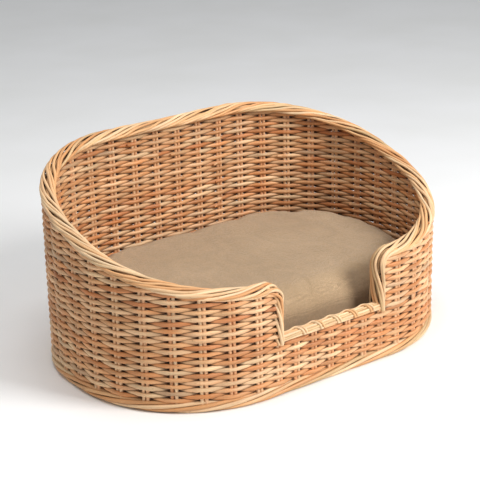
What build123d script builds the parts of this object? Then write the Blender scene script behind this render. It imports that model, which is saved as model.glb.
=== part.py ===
from build123d import *
import os
from math import cos, pi, radians, sin

os.makedirs("parts", exist_ok=True)

# Wicker pet bed: an oval basket with a high slanted rim, a low sill in front and a loose cushion.
# Millimetres. +Z up, -Y is the front with the doorway, origin on the floor at the middle of the foot.

# ---- driving dimensions of the basket -----------------------------------------------------
LENGTH = 800.0              # outside of the weave, end to end
WIDTH = 544.0               # outside of the weave, front to back
CORNER_RADIUS = 252.0       # plan radius of the four quarter-round corners
WALL = 17.0                 # one stake with a weaver on each side of it
FRONT_RIM = 215.5           # height of the border's middle over the front run
BACK_RIM = 383.0            # height of the border's middle over the back run
BORDER_WIDTH = 32.0         # border section, across the wall
BORDER_HEIGHT = 19.0        # border section, up and down
BORDER_ROUND = 8.5
BORDER_INSET = 15.4         # border's middle, in from the outside of the weave
RIM_HOOP = 9.0              # diameter of the cane inside the border
DOORWAY = 226.0             # clear width between the two edge borders
SILL_TOP = 121.0
SILL_BORDER = 18.0          # height of the sill's own border
SILL_ROUND = 7.0
SILL_ROD = 9.0
FOOT_HEIGHT = 22.0          # height of the waled foot
FOOT_ROUND = 9.0            # the foot rolls under with this radius
BASE_HOOP = 16.0            # diameter of the hoop inside the foot
CROSS_CANE = 12.0
CROSS_CANE_COUNT = 9
CROSS_CANE_STEP = 76.0
NAIL = 1.6
NAIL_LENGTH = 34.0
FLOOR_LOW = 19.0            # the woven floor lies on the hoop and the cross canes
FLOOR_THICK = 9.0
STAKE = 7.0                 # diameter of one upright cane
STAKE_PAIR = 7.4            # the two canes of a pair, middle to middle
STAKE_BOTTOM = 4.0
WALL_STAKE_GAPS = 35        # equal gaps from one doorway pair to the other, round the back
DOORWAY_STAKE = 167.0       # the first pairs past the doorway, out from the middle
SILL_STAKES = 7
SILL_STAKE_STEP = 40.8

# ---- driving dimensions of the cushion ----------------------------------------------------
CUSHION_LENGTH = 730.0
CUSHION_WIDTH = 474.0
CUSHION_RADIUS = 225.0
CUSHION_GAP = 0.3           # between the cushion and the woven floor
CUSHION_TOP = 168.0
CUSHION_TOP_ROUND = 42.0
CUSHION_LOW_ROUND = 14.0
COVER = 1.5                 # thickness of the cover with its seams
ZIP_HEIGHT = 66.0           # height of the zip and of the cover's seam
PLACKET_DEPTH = 8.5         # the zip lies in a sunk placket
PLACKET_HEIGHT = 34.0
PLACKET_LENGTH = 276.0
TAPE_LENGTH = 262.0
TAPE_WIDTH = 12.0
TAPE_THICK = 0.8
TAPE_GAP = 2.0              # between the two tapes, under the chain
CHAIN_WIDTH = 5.0
CHAIN_THICK = 1.8
SLIDER_REST = 122.0         # the slider's place along X with the zip closed
SLIDER_LENGTH = 11.0
SLIDER_WIDTH = 9.0
SLIDER_THICK = 5.0
SLIDER_CLEARANCE = 0.3
EAR_THICK = 1.5
EAR_HEIGHT = 3.0
PIVOT_PIN = 1.2
PIVOT_CLEARANCE = 0.05
PULL_LENGTH = 12.0
PULL_WIDTH = 4.6
PULL_THICK = 1.2
PULL_BARREL = 2.6

# ---- places worked out from them ----------------------------------------------------------
HALF_WIDTH = WIDTH / 2
CORNER_X = LENGTH / 2 - CORNER_RADIUS
CORNER_Y = HALF_WIDTH - CORNER_RADIUS
RIM_Y = HALF_WIDTH - BORDER_INSET
RIM_SLOPE = (BACK_RIM - FRONT_RIM) / (2 * RIM_Y)
RIM_MIDDLE = (BACK_RIM + FRONT_RIM) / 2
EDGE_X = (DOORWAY + BORDER_HEIGHT) / 2
DOORWAY_BEND = CORNER_X - EDGE_X
SILL_BOTTOM = SILL_TOP - SILL_BORDER
STAKE_INSET = WALL / 2
STAKE_RADIUS = CORNER_RADIUS - STAKE_INSET
HOOP_INSET = WALL + BASE_HOOP / 2
CUSHION_LOW = FLOOR_LOW + FLOOR_THICK + CUSHION_GAP
PLACKET_FLOOR = CUSHION_WIDTH / 2 - PLACKET_DEPTH
CHAIN_Y = PLACKET_FLOOR + TAPE_THICK
SLIDER_Y = CHAIN_Y + SLIDER_CLEARANCE
PIVOT_Y = SLIDER_Y + SLIDER_THICK + PULL_BARREL / 2 + SLIDER_CLEARANCE
TALL = 600.0                # higher than anything here


def rim_height(y):
    """Height of the border's middle where the border's own middle line stands at y."""
    return RIM_MIDDLE + RIM_SLOPE * y


def plan(inset):
    """The basket's plan outline, moved in from the outside of the weave."""
    return RectangleRounded(LENGTH - 2 * inset, WIDTH - 2 * inset, CORNER_RADIUS - inset)


def ring(inset, thick, low, high):
    """An upright wall of the given thickness that follows the plan."""
    return Pos(0, 0, low) * extrude(plan(inset) - plan(inset + thick), high - low)


def block(x_low, x_high, y_low, y_high, z_low, z_high):
    """A box between two corners."""
    middle = Pos((x_low + x_high) / 2, (y_low + y_high) / 2, (z_low + z_high) / 2)
    return middle * Box(x_high - x_low, y_high - y_low, z_high - z_low)


def rod(start, end, diameter):
    """A straight round cane or nail between two points."""
    run = Line(start, end)
    return extrude(Plane(origin=start, z_dir=run % 0) * Circle(diameter / 2), run.length)


def wall_place(along, inset):
    """Plan point and heading at a distance along the middle of the wall, from the front's middle
    towards +X and on round the basket, moved in from the outside of the weave."""
    quarter = pi / 2 * STAKE_RADIUS
    legs = [("run", CORNER_X), ("turn", quarter), ("run", 2 * CORNER_Y), ("turn", quarter),
            ("run", 2 * CORNER_X), ("turn", quarter), ("run", 2 * CORNER_Y), ("turn", quarter),
            ("run", CORNER_X)]
    x, y, heading = 0.0, -(HALF_WIDTH - inset), 0.0
    radius = CORNER_RADIUS - inset
    for kind, leg in legs:
        part = min(along, leg)
        along -= part
        if kind == "run":
            x += part * cos(heading)
            y += part * sin(heading)
        else:
            turned = heading + part / STAKE_RADIUS
            x += radius * (sin(turned) - sin(heading))
            y -= radius * (cos(turned) - cos(heading))
            heading = turned
        if along <= 0:
            break
    return x, y, heading


# ---- basket: floor ------------------------------------------------------------------------
def base_hoop():
    """A thick cane bent to the oval, just inside the foot."""
    path = Pos(0, 0, FLOOR_LOW - BASE_HOOP / 2) * plan(HOOP_INSET).wire()
    start = path @ 0
    return sweep(Plane(origin=start, z_dir=path % 0) * Circle(BASE_HOOP / 2), path)


def cross_cane_places():
    """For each cross cane its x, and the y of its end at the middle of the hoop."""
    radius = CORNER_RADIUS - HOOP_INSET
    places = []
    for number in range(CROSS_CANE_COUNT):
        x = (number - (CROSS_CANE_COUNT - 1) / 2) * CROSS_CANE_STEP
        past = max(abs(x) - CORNER_X, 0.0)
        places.append((x, CORNER_Y + (radius ** 2 - past ** 2) ** 0.5))
    return places


def base_cross_canes(hoop):
    """Canes across the hoop, each end coped to it."""
    z = FLOOR_LOW - CROSS_CANE / 2
    return [rod((x, -y, z), (x, y, z), CROSS_CANE) - hoop for x, y in cross_cane_places()]


def hoop_nails():
    """A nail through the hoop into each end of each cross cane."""
    z = FLOOR_LOW - CROSS_CANE / 2
    nails = []
    for x, y in cross_cane_places():
        for side in (-1, 1):
            outer = side * (y + BASE_HOOP / 2 - NAIL)
            nails.append(rod((x, outer, z), (x, outer - side * NAIL_LENGTH, z), NAIL))
    return nails


def woven_base():
    """The floor mat, up against the inside of the wall."""
    return Pos(0, 0, FLOOR_LOW) * extrude(plan(WALL), FLOOR_THICK)


# ---- basket: wall -------------------------------------------------------------------------
def foot_wale():
    """The waled foot, rolled under at the outside."""
    foot = ring(0, WALL, 0, FOOT_HEIGHT)
    low_edges = foot.edges().filter_by_position(Axis.Z, -0.01, 0.01)
    outer = [edge for edge in low_edges if outside(edge @ 0.5)]
    return fillet(outer, FOOT_ROUND)


def outside(point):
    """Whether a point lies on the outer half of the wall's thickness."""
    middle = plan(WALL / 2).faces()[0]
    return not middle.is_inside(Vector(point.X, point.Y, 0))


def rim_path():
    """The border's middle line over the wall, from one side of the doorway round to the other."""
    radius = CORNER_RADIUS - BORDER_INSET
    reach = LENGTH / 2 - BORDER_INSET
    long_radius = radius * (1 + RIM_SLOPE ** 2) ** 0.5

    def corner(x, y, start):
        origin = (x, y, rim_height(y))
        slant = Plane(origin=origin, x_dir=(1, 0, 0), z_dir=(0, -RIM_SLOPE, 1))
        return Edge.make_ellipse(radius, long_radius, slant, start, start + 90)

    def run(x0, y0, x1, y1):
        return Edge.make_line((x0, y0, rim_height(y0)), (x1, y1, rim_height(y1)))

    return [corner(CORNER_X, -CORNER_Y, 270), run(reach, -CORNER_Y, reach, CORNER_Y),
            corner(CORNER_X, CORNER_Y, 0), run(CORNER_X, RIM_Y, -CORNER_X, RIM_Y),
            corner(-CORNER_X, CORNER_Y, 90), run(-reach, CORNER_Y, -reach, -CORNER_Y),
            corner(-CORNER_X, -CORNER_Y, 180)]


def edge_path(side):
    """The border's middle line beside the doorway: a bend down from the rim, then straight down."""
    rim = FRONT_RIM
    top = (side * CORNER_X, -RIM_Y, rim)
    middle = (side * (CORNER_X - DOORWAY_BEND * sin(radians(45))), -RIM_Y,
              rim - DOORWAY_BEND * (1 - cos(radians(45))))
    low = (side * EDGE_X, -RIM_Y, rim - DOORWAY_BEND)
    end = (side * EDGE_X, -RIM_Y, SILL_BOTTOM)
    return [Edge.make_three_point_arc(top, middle, low), Edge.make_line(low, end)]


def rolled(edges, across):
    """The border's section carried along a path; across is the way its width lies at the start."""
    path = Wire(edges)
    start = Plane(origin=path @ 0, x_dir=across, z_dir=path % 0)
    section = start * RectangleRounded(BORDER_WIDTH, BORDER_HEIGHT, BORDER_ROUND)
    return Solid.sweep(section.face(), path)


def rim_border():
    """The rolled border over the wall, square to the slanted plane of the rim."""
    return rolled(rim_path(), (0, 1, RIM_SLOPE))


def edge_border(side):
    """The rolled border beside the doorway."""
    return rolled(edge_path(side), (0, 1, 0))


def rim_hoop():
    """The cane inside the border, down both sides of the doorway too."""
    path = Wire(edge_path(1) + rim_path() + edge_path(-1))
    start = path @ 0
    return Solid.sweep((Plane(origin=start, z_dir=path % 0) * Circle(RIM_HOOP / 2)).face(), path)


def lower_siding():
    """The weave all round, between the foot and the sill's border."""
    return ring(0, WALL, FOOT_HEIGHT, SILL_BOTTOM)


def upper_siding(borders):
    """The weave from one side of the doorway round the back to the other, up into the border."""
    wall = ring(0, WALL, SILL_BOTTOM, TALL)
    slant = Plane(origin=(0, 0, RIM_MIDDLE), x_dir=(1, 0, 0), z_dir=(0, -RIM_SLOPE, 1))
    wall = split(wall, bisect_by=slant, keep=Keep.BOTTOM)
    side = EDGE_X + BORDER_HEIGHT / 2
    wall = wall - block(-side, side, -HALF_WIDTH - 1, 0, SILL_BOTTOM - 1, TALL)
    for border in borders:
        wall = wall - border
    return max(wall.solids(), key=lambda solid: solid.volume)


def sill_border():
    """The long canes and folded stakes on top of the sill, between the two edge borders."""
    half = DOORWAY / 2
    bar = block(-half, half, -HALF_WIDTH - 0.5, -HALF_WIDTH + WALL + 1.5, SILL_BOTTOM, SILL_TOP)
    top = bar.edges().filter_by(Axis.X).group_by(Axis.Z)[-1]
    return fillet(top, SILL_ROUND)


def sill_rod():
    """The cane rod inside the sill's border."""
    half = DOORWAY / 2
    y = -HALF_WIDTH + STAKE_INSET
    z = SILL_TOP - SILL_BORDER / 2
    return rod((-half, y, z), (half, y, z), SILL_ROD)


# ---- basket: stakes -----------------------------------------------------------------------
def stake_pair(along, top):
    """Two upright canes side by side in the middle of the wall."""
    x, y, heading = wall_place(along, STAKE_INSET)
    canes = []
    for side in (-0.5, 0.5):
        at_x = x + side * STAKE_PAIR * cos(heading)
        at_y = y + side * STAKE_PAIR * sin(heading)
        canes.append(rod((at_x, at_y, STAKE_BOTTOM), (at_x, at_y, top), STAKE))
    return canes


def wall_stakes():
    """The pairs under the border, sorted into the stretches of the wall that they stand in."""
    around = 4 * CORNER_X + 4 * CORNER_Y + 2 * pi * STAKE_RADIUS
    step = (around - 2 * DOORWAY_STAKE) / WALL_STAKE_GAPS
    groups = {"stakes_back": [], "stakes_left_end": [], "stakes_right_end": [],
              "stakes_left_lobe": [], "stakes_right_lobe": []}
    for number in range(WALL_STAKE_GAPS + 1):
        along = DOORWAY_STAKE + number * step
        x, y, heading = wall_place(along, STAKE_INSET)
        hand = "right" if x > 0 else "left"
        if y < -RIM_Y / 2:
            name = f"stakes_{hand}_lobe"
        elif y < RIM_Y / 2:
            name = f"stakes_{hand}_end"
        else:
            name = "stakes_back"
        groups[name] += stake_pair(along, stake_top(y))
    return groups


def stake_top(y):
    """Where a stake stops under the border."""
    return rim_height(y) - BORDER_HEIGHT / 2 - STAKE / 2


def sill_stakes():
    """The short pairs under the sill's border and under the two edge borders."""
    canes = []
    for number in range(SILL_STAKES):
        x = (number - (SILL_STAKES - 1) / 2) * SILL_STAKE_STEP
        around = 4 * CORNER_X + 4 * CORNER_Y + 2 * pi * STAKE_RADIUS
        canes += stake_pair(x % around, SILL_BOTTOM)
    return canes


# ---- cushion ------------------------------------------------------------------------------
def cushion_form(skin):
    """The cushion's outer form, moved in by the thickness of a skin."""
    outline = RectangleRounded(CUSHION_LENGTH - 2 * skin, CUSHION_WIDTH - 2 * skin,
                               CUSHION_RADIUS - skin)
    form = Pos(0, 0, CUSHION_LOW + skin) * extrude(outline, CUSHION_TOP - CUSHION_LOW - 2 * skin)
    form = fillet(form.edges().group_by(Axis.Z)[-1], CUSHION_TOP_ROUND - skin)
    form = fillet(form.edges().group_by(Axis.Z)[0], CUSHION_LOW_ROUND - skin)
    half_length = PLACKET_LENGTH / 2 + skin
    half_height = PLACKET_HEIGHT / 2 + skin
    return form - block(-half_length, half_length, PLACKET_FLOOR - skin, CUSHION_WIDTH,
                        ZIP_HEIGHT - half_height, ZIP_HEIGHT + half_height)


def cushion_pieces():
    """The filling, and the two halves of the cover, which meet at the zip."""
    filling = cushion_form(COVER)
    cover = cushion_form(0) - filling
    seam = Plane.XY.offset(ZIP_HEIGHT)
    return {"cushion_filling": filling,
            "cushion_cover": split(cover, bisect_by=seam, keep=Keep.TOP),
            "cushion_underside": split(cover, bisect_by=seam, keep=Keep.BOTTOM)}


def zip_tapes():
    """The two tapes, sewn to the floor of the placket."""
    half = TAPE_LENGTH / 2
    low, high = PLACKET_FLOOR, CHAIN_Y
    near, far = TAPE_GAP / 2, TAPE_GAP / 2 + TAPE_WIDTH
    return [block(-half, half, low, high, ZIP_HEIGHT + near, ZIP_HEIGHT + far),
            block(-half, half, low, high, ZIP_HEIGHT - far, ZIP_HEIGHT - near)]


def zip_chain():
    """The closed chain along the tapes' inner edges."""
    half = TAPE_LENGTH / 2
    return block(-half, half, CHAIN_Y, CHAIN_Y + CHAIN_THICK,
                 ZIP_HEIGHT - CHAIN_WIDTH / 2, ZIP_HEIGHT + CHAIN_WIDTH / 2)


def zip_slider():
    """The slider over the chain, with two ears and the pin that carries the pull."""
    half, wide = SLIDER_LENGTH / 2, SLIDER_WIDTH / 2
    top = SLIDER_Y + SLIDER_THICK
    body = block(-half, half, SLIDER_Y, top, -wide, wide)
    body = fillet(body.edges().filter_by(Axis.Y), 2.0)
    channel = CHAIN_WIDTH / 2 + SLIDER_CLEARANCE
    body = body - block(-half - 1, half + 1, SLIDER_Y - 1,
                        CHAIN_Y + CHAIN_THICK + SLIDER_CLEARANCE, -channel, channel)
    for side in (-1, 1):
        inner = side * (wide - EAR_THICK)
        ear = block(-EAR_HEIGHT / 2, EAR_HEIGHT / 2, top - 0.5, PIVOT_Y + PIVOT_PIN,
                    min(inner, side * wide), max(inner, side * wide))
        body = body + ear
    body = body + rod((0, PIVOT_Y, -wide + 0.5), (0, PIVOT_Y, wide - 0.5), PIVOT_PIN)
    return Pos(SLIDER_REST, 0, ZIP_HEIGHT) * body


def zip_pull():
    """The pull tab, lying back along the chain, with the barrel that it swings on."""
    wide = PULL_WIDTH / 2
    barrel = rod((0, PIVOT_Y, -wide), (0, PIVOT_Y, wide), PULL_BARREL)
    tab = block(-PULL_LENGTH, 0, PIVOT_Y - PULL_THICK / 2, PIVOT_Y + PULL_THICK / 2, -wide, wide)
    tab = fillet(tab.edges().filter_by(Axis.Y).group_by(Axis.X)[0], 2.0)
    bore = rod((0, PIVOT_Y, -wide - 1), (0, PIVOT_Y, wide + 1), PIVOT_PIN + 2 * PIVOT_CLEARANCE)
    return Pos(SLIDER_REST, 0, ZIP_HEIGHT) * (tab + barrel - bore)


# ---- all the pieces -----------------------------------------------------------------------
def all_pieces():
    """Every piece by its node's name."""
    hoop = base_hoop()
    core = rim_hoop()
    borders = {"rim_border": rim_border(), "right_edge_border": edge_border(1),
               "left_edge_border": edge_border(-1)}
    sill_core = sill_rod()
    pieces = {"base_hoop": hoop, "base_cross_canes": base_cross_canes(hoop),
              "hoop_nails": hoop_nails(), "woven_base": woven_base(), "foot_wale": foot_wale(),
              "lower_siding": lower_siding(), "upper_siding": upper_siding(borders.values()),
              "rim_hoop": core, "sill_rod": sill_core, "sill_border": sill_border() - sill_core,
              "stakes_sill": sill_stakes(), "zip_tapes": zip_tapes(), "zip_chain": zip_chain(),
              "zip_slider": zip_slider(), "zip_pull": zip_pull()}
    pieces.update({name: border - core for name, border in borders.items()})
    pieces.update(wall_stakes())
    pieces.update(cushion_pieces())
    return pieces


for name, piece in all_pieces().items():
    solids = piece if isinstance(piece, list) else [piece]
    bodies = [body for solid in solids for body in solid.solids()]
    export_step(bodies[0] if len(bodies) == 1 else Compound(children=bodies),
                f"parts/{name}.step")
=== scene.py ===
"""Wicker pet bed: an oval basket of woven cane with a slanted rolled border, a low sill to step over
and a thick loose cushion that lifts out. Metres, +Z up, -Y is the front with the doorway."""

import logging
from dataclasses import dataclass, field
from enum import Enum

import bpy
import numpy as np
from mathutils import Matrix, Vector


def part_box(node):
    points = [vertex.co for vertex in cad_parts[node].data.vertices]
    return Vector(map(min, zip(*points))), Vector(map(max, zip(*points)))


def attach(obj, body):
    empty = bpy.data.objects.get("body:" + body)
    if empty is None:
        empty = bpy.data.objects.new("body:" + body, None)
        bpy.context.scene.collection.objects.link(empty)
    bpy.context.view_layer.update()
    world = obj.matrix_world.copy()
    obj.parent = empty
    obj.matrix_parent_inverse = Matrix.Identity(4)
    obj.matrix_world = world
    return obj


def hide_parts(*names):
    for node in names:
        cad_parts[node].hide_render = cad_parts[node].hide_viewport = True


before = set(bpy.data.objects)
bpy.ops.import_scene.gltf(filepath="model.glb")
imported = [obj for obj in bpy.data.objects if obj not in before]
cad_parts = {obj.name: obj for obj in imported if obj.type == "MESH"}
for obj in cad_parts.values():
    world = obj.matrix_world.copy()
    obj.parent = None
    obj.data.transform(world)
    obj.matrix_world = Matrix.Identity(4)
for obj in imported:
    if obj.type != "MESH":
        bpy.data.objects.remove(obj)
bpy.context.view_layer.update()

Array = np.ndarray
MM = 0.001
TURN = 2 * np.pi
log = logging.getLogger("pet_bed")


class Body(Enum):
    """The bodies that pieces ride on."""

    BASKET = "root"
    CUSHION = "cushion"


class Slot(Enum):
    """The record's material slots."""

    WALL = "wall_weave"
    BORDER = "border_cane"
    FOOT = "foot_cane"
    STAKE = "stake_cane"
    FLOOR = "floor_weave"
    THICK = "thick_cane"
    CLOTH = "cushion_cloth"
    COIL = "zip_coil"


# ---- numbers and meshes -------------------------------------------------------------------
def unit(vectors: Array) -> Array:
    """Scale each vector to a length of one."""
    return vectors / np.linalg.norm(vectors, axis=-1, keepdims=True)


def smooth(share: Array) -> Array:
    """Ease from 0 to 1 with level ends: three times the square less twice the cube."""
    share = np.clip(share, 0.0, 1.0)
    return share * share * (3 - 2 * share)


def wander(share: Array, rng: np.random.Generator, low: int, high: int) -> Array:
    """A smooth wandering value, about -1 to 1, that closes on itself.

    The mean of five sine waves, each with a whole number of waves over the way round.

    Args:
        share: Place along the way, from 0 to 1.
        rng: Source of the waves' counts and starts.
        low: Fewest waves over the whole way.
        high: Most waves over the whole way.

    Returns:
        One value for each place.
    """
    counts = rng.integers(low, high + 1, 5)
    starts = rng.uniform(0, TURN, 5)
    return np.sin(TURN * np.multiply.outer(share, counts) + starts).mean(axis=-1) * 1.6


def linear(red: int, green: int, blue: int) -> tuple[float, float, float, float]:
    """A screen colour, 0 to 255 each, as linear light: the usual curve with its power of 2.4."""
    parts = np.array([red, green, blue]) / 255
    light = np.where(parts <= 0.04045, parts / 12.92, ((parts + 0.055) / 1.055) ** 2.4)
    return (*(float(part) for part in light), 1.0)


def ring_faces(rings: int, sides: int, closed: bool) -> tuple[Array, Array]:
    """Faces of a tube of rings: four-cornered faces between rings and one flat face at each end.

    Args:
        rings: Count of rings.
        sides: Points on each ring.
        closed: Whether the last ring joins the first.

    Returns:
        All the faces' corners in one row, and each face's count of corners.
    """
    first = np.arange(rings if closed else rings - 1)[:, None] * sides
    second = (first + sides) % (rings * sides)
    here = np.arange(sides)[None, :]
    after = (here + 1) % sides
    quads = np.stack([first + here, first + after, second + after, second + here], axis=-1)
    corners, counts = [quads.ravel()], [np.full(quads.shape[0] * sides, 4)]
    if not closed:
        corners += [np.arange(sides)[::-1], (rings - 1) * sides + np.arange(sides)]
        counts += [np.array([sides, sides])]
    return np.concatenate(corners), np.concatenate(counts)


def make_piece(name: str, points: Array, corners: Array, counts: Array) -> bpy.types.Object:
    """Put points and faces into a new smooth-shaded object at the origin.

    Args:
        name: The piece's name.
        points: One row of x, y and z for each vertex.
        corners: The faces' corners in one row.
        counts: Each face's count of corners.

    Returns:
        The new object.
    """
    mesh = bpy.data.meshes.new(name)
    mesh.vertices.add(len(points))
    mesh.vertices.foreach_set("co", points.astype(np.float32).ravel())
    mesh.loops.add(len(corners))
    mesh.loops.foreach_set("vertex_index", corners.astype(np.int32))
    mesh.polygons.add(len(counts))
    mesh.polygons.foreach_set("loop_start", (np.cumsum(counts) - counts).astype(np.int32))
    mesh.update(calc_edges=True)
    mesh.validate()
    mesh.shade_smooth()
    piece = bpy.data.objects.new(name, mesh)
    bpy.context.scene.collection.objects.link(piece)
    return piece


def vertex_points(mesh: bpy.types.Mesh) -> Array:
    """The mesh's vertices as rows of x, y and z."""
    points = np.empty(len(mesh.vertices) * 3, np.float32)
    mesh.vertices.foreach_get("co", points)
    return points.reshape(-1, 3).astype(float)


def box_of(node: str) -> tuple[Array, Array]:
    """A CAD node's lowest and highest corner."""
    low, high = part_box(node)
    return np.array(low), np.array(high)


def settle(piece: bpy.types.Object, material: bpy.types.Material, body: Body, slot: Slot,
           *nodes: str) -> bpy.types.Object:
    """Give a new piece its material and its body, and hide the CAD nodes that it stands for."""
    piece.data.materials.clear()
    piece.data.materials.append(material)
    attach(piece, body.value)
    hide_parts(*nodes)
    log.info("%s: %d faces", piece.name, len(piece.data.polygons))
    return piece


# ---- finishes -----------------------------------------------------------------------------
@dataclass
class NodeBoard:
    """A material's node tree, with short ways to add nodes and join them."""

    name: str
    material: bpy.types.Material = field(init=False)
    shader: bpy.types.Node = field(init=False)

    def __post_init__(self) -> None:
        """Start the material with its own shader."""
        self.material = bpy.data.materials.new(self.name)
        self.material.use_nodes = True
        self.shader = self.material.node_tree.nodes["Principled BSDF"]

    def add(self, kind: str, inputs: dict | None = None, **settings: object) -> bpy.types.Node:
        """Add a node.

        Args:
            kind: The node's type, without its "ShaderNode" start.
            inputs: A value or another node's output for each named or numbered input.
            settings: The node's own settings.

        Returns:
            The new node.
        """
        node = self.material.node_tree.nodes.new("ShaderNode" + kind)
        for key, value in settings.items():
            setattr(node, key, value)
        self.fill(node, inputs or {})
        return node

    def fill(self, node: bpy.types.Node, inputs: dict) -> None:
        """Set or join a node's inputs."""
        for key, value in inputs.items():
            if isinstance(value, bpy.types.NodeSocket):
                self.material.node_tree.links.new(value, node.inputs[key])
            else:
                node.inputs[key].default_value = value

    def stretch(self, source: bpy.types.NodeSocket, scale: tuple[float, float, float]
                ) -> bpy.types.NodeSocket:
        """Coordinates with each direction scaled on its own."""
        return self.add("Mapping", {"Vector": source, "Scale": scale}).outputs[0]

    def noise(self, source: bpy.types.NodeSocket, detail: float = 2.0, rough: float = 0.5
              ) -> bpy.types.NodeSocket:
        """A noise value of unit scale over given coordinates."""
        return self.add("TexNoise", {"Vector": source, "Scale": 1.0, "Detail": detail,
                                     "Roughness": rough}).outputs[0]

    def ease(self, source: bpy.types.NodeSocket, low: float, high: float, to_low: float = 0.0,
             to_high: float = 1.0) -> bpy.types.NodeSocket:
        """Take a value from one range to another, held at the ends."""
        return self.add("MapRange", {0: source, 1: low, 2: high, 3: to_low, 4: to_high}).outputs[0]

    def ramp(self, source: bpy.types.NodeSocket, stops: tuple) -> bpy.types.NodeSocket:
        """Colours at places from 0 to 1."""
        node = self.add("ValToRGB", {0: source})
        band = node.color_ramp
        while len(band.elements) < len(stops):
            band.elements.new(0.5)
        for element, (place, colour) in zip(band.elements, stops):
            element.position = place
            element.color = linear(*colour)
        return node.outputs[0]

    def blend(self, share: object, first: object, second: object, mode: str = "MIX"
              ) -> bpy.types.NodeSocket:
        """Mix two colours by a share."""
        node = self.add("Mix", {0: share, 6: first, 7: second}, data_type="RGBA", blend_type=mode)
        return node.outputs[2]

    def math(self, operation: str, first: object, second: object = 0.0) -> bpy.types.NodeSocket:
        """One sum on one or two values."""
        return self.add("Math", {0: first, 1: second}, operation=operation).outputs[0]

    def bump(self, height: bpy.types.NodeSocket, distance: float, strength: float = 1.0) -> None:
        """Raise the surface by a height value times a distance in metres."""
        node = self.add("Bump", {"Height": height, "Distance": distance, "Strength": strength})
        self.fill(self.shader, {"Normal": node.outputs[0]})


@dataclass(frozen=True)
class CaneFinish:
    """Natural cane: a tone for each cane, blotches and fibre streaks along it, satin skin, and a
    painted shade that darkens it deep in the weave.
    """

    name: str
    tones: tuple
    streak: float = 0.2
    blotch: float = 0.22
    specks: float = 0.5
    stain: float = 0.7
    roughness: float = 0.42
    rise: float = 0.00025

    def material(self) -> bpy.types.Material:
        """Colour by the tone attribute, worked over by noises stretched along the fibre and by a
        painted shade.
        """
        board = NodeBoard(self.name)
        tone = board.add("Attribute", attribute_name="tone").outputs["Fac"]
        fibre = board.add("Attribute", attribute_name="fibre").outputs["Vector"]
        streaks = board.noise(board.stretch(fibre, (1300, 1300, 22)), 3.0, 0.6)
        blotches = board.noise(board.stretch(fibre, (60, 60, 9)), 2.0)
        spots = board.noise(board.stretch(fibre, (330, 330, 95)), 1.0)
        stains = board.noise(board.stretch(fibre, (25, 25, 11)), 1.5)
        colour = board.blend(board.ease(stains, 0.50, 0.72, 0.0, self.stain),
                             board.ramp(tone, self.tones), linear(214, 138, 78))
        shade = board.ease(blotches, 0.32, 0.68, 1 - self.blotch, 1 + 0.6 * self.blotch)
        lines = board.ease(streaks, 0.34, 0.62, 1 - self.streak, 1 + 0.35 * self.streak)
        light = board.math("MULTIPLY", shade, lines)
        grey = board.add("CombineColor", {0: light, 1: light, 2: light}).outputs[0]
        colour = board.blend(1.0, colour, grey, "MULTIPLY")
        colour = board.blend(board.ease(spots, 0.68, 0.78, 0.0, self.specks), colour,
                             linear(112, 62, 30))
        # Painted shade: the colour falls to a dark brown where the cane lies deep in the weave or on
        # a strand's inner side.
        unshaded = board.add("Attribute", attribute_name="unshaded").outputs["Fac"]
        colour = board.blend(board.ease(unshaded, 0.06, 0.36, 0.0, 1.0), linear(62, 33, 16), colour)
        board.fill(board.shader, {
            "Base Color": colour, "Specular IOR Level": 0.42,
            "Roughness": board.ease(streaks, 0.3, 0.7, self.roughness + 0.14,
                                    self.roughness - 0.06)})
        board.bump(streaks, self.rise)
        return board.material


@dataclass(frozen=True)
class ClothFinish:
    """Closely woven cotton: threads that cross, slubs, a faint nap and a stitched seam."""

    name: str
    colour: tuple[int, int, int]
    shade: tuple[int, int, int]
    thread: float
    seam: float | None = None
    nap: float = 0.25

    def material(self) -> bpy.types.Material:
        """Three crossing waves on the piece's own coordinates; on any face two of them show."""
        board = NodeBoard(self.name)
        place = board.add("TexCoord").outputs["Object"]
        wave = TURN / self.thread
        axes = board.add("SeparateXYZ", {0: board.stretch(place, (wave, wave, wave))})
        sines = [board.math("SINE", axes.outputs[number]) for number in range(3)]
        weave = board.math("ADD", board.math("ADD", sines[0], sines[1]), sines[2])
        slubs = board.noise(board.stretch(place, (210, 210, 210)), 3.0, 0.6)
        cloud = board.noise(board.stretch(place, (7, 7, 7)), 2.0)
        colour = board.blend(board.ease(cloud, 0.35, 0.65), linear(*self.shade),
                             linear(*self.colour))
        flecks = board.ease(slubs, 0.3, 0.7, 0.90, 1.06)
        threads = board.ease(weave, -2.0, 2.0, 0.93, 1.05)
        light = board.math("MULTIPLY", flecks, threads)
        height = board.math("ADD", weave, board.math("MULTIPLY", slubs, 3.0))
        if self.seam is not None:
            up = board.add("SeparateXYZ", {0: place})
            off = board.math("ABSOLUTE", board.math("SUBTRACT", up.outputs[2], self.seam))
            light = board.math("MULTIPLY", light, board.ease(off, 0.0, 0.0012, 0.45, 1.0))
        grey = board.add("CombineColor", {0: light, 1: light, 2: light}).outputs[0]
        board.fill(board.shader, {
            "Base Color": board.blend(1.0, colour, grey, "MULTIPLY"), "Roughness": 0.82,
            "Specular IOR Level": 0.25, "Sheen Weight": self.nap, "Sheen Roughness": 0.45})
        board.bump(height, self.thread * 0.16)
        return board.material


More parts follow.
